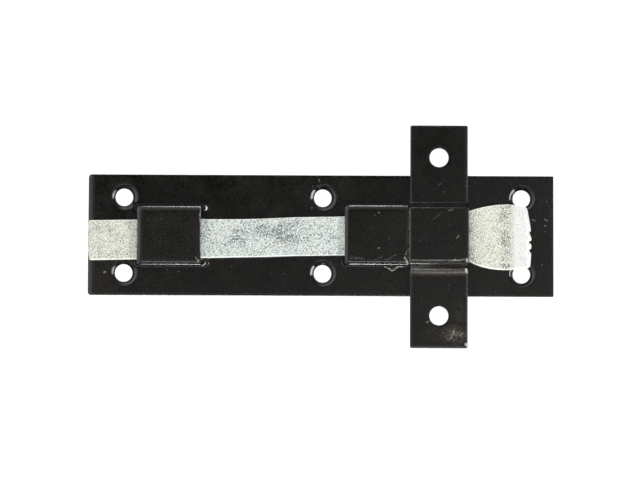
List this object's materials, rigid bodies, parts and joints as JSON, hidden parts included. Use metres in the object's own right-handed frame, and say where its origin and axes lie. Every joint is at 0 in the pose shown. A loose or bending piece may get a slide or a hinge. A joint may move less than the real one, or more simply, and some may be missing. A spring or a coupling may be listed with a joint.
{
  "type": "spring bolt",
  "caption": "Flat spring bolt: a bowed sliding bar with an upturned thumb piece, guided by strap staples on a drilled backplate, with its loose strap keeper lying across it.",
  "frame": {"origin": "centre of the backplate's flat back face", "axes": "+X along the backplate towards the thumb piece, the bolt shooting towards -X; +Z out of the door, from the back face to the staples"},
  "size_m": [0.1501, 0.072, 0.0085],
  "materials": {
    "black_paint_plate": "gloss",
    "black_paint_staple": "gloss",
    "zinc_bar": "mottled zinc plate",
    "black_paint_keeper": "gloss, scuffed"
  },
  "bodies": {
    "plate": {"backplate": "black_paint_plate", "front_staple": "black_paint_staple", "rear_staple": "black_paint_staple", "keeper": "black_paint_keeper"},
    "bolt": {"bolt_bar": "zinc_bar"}
  },
  "joints": [
    {"name": "bolt_slide", "type": "slide", "parent": "plate", "child": "bolt", "axis": [0.9998, 0.0187, 0], "range_m": [0, 0.016]}
  ]
}
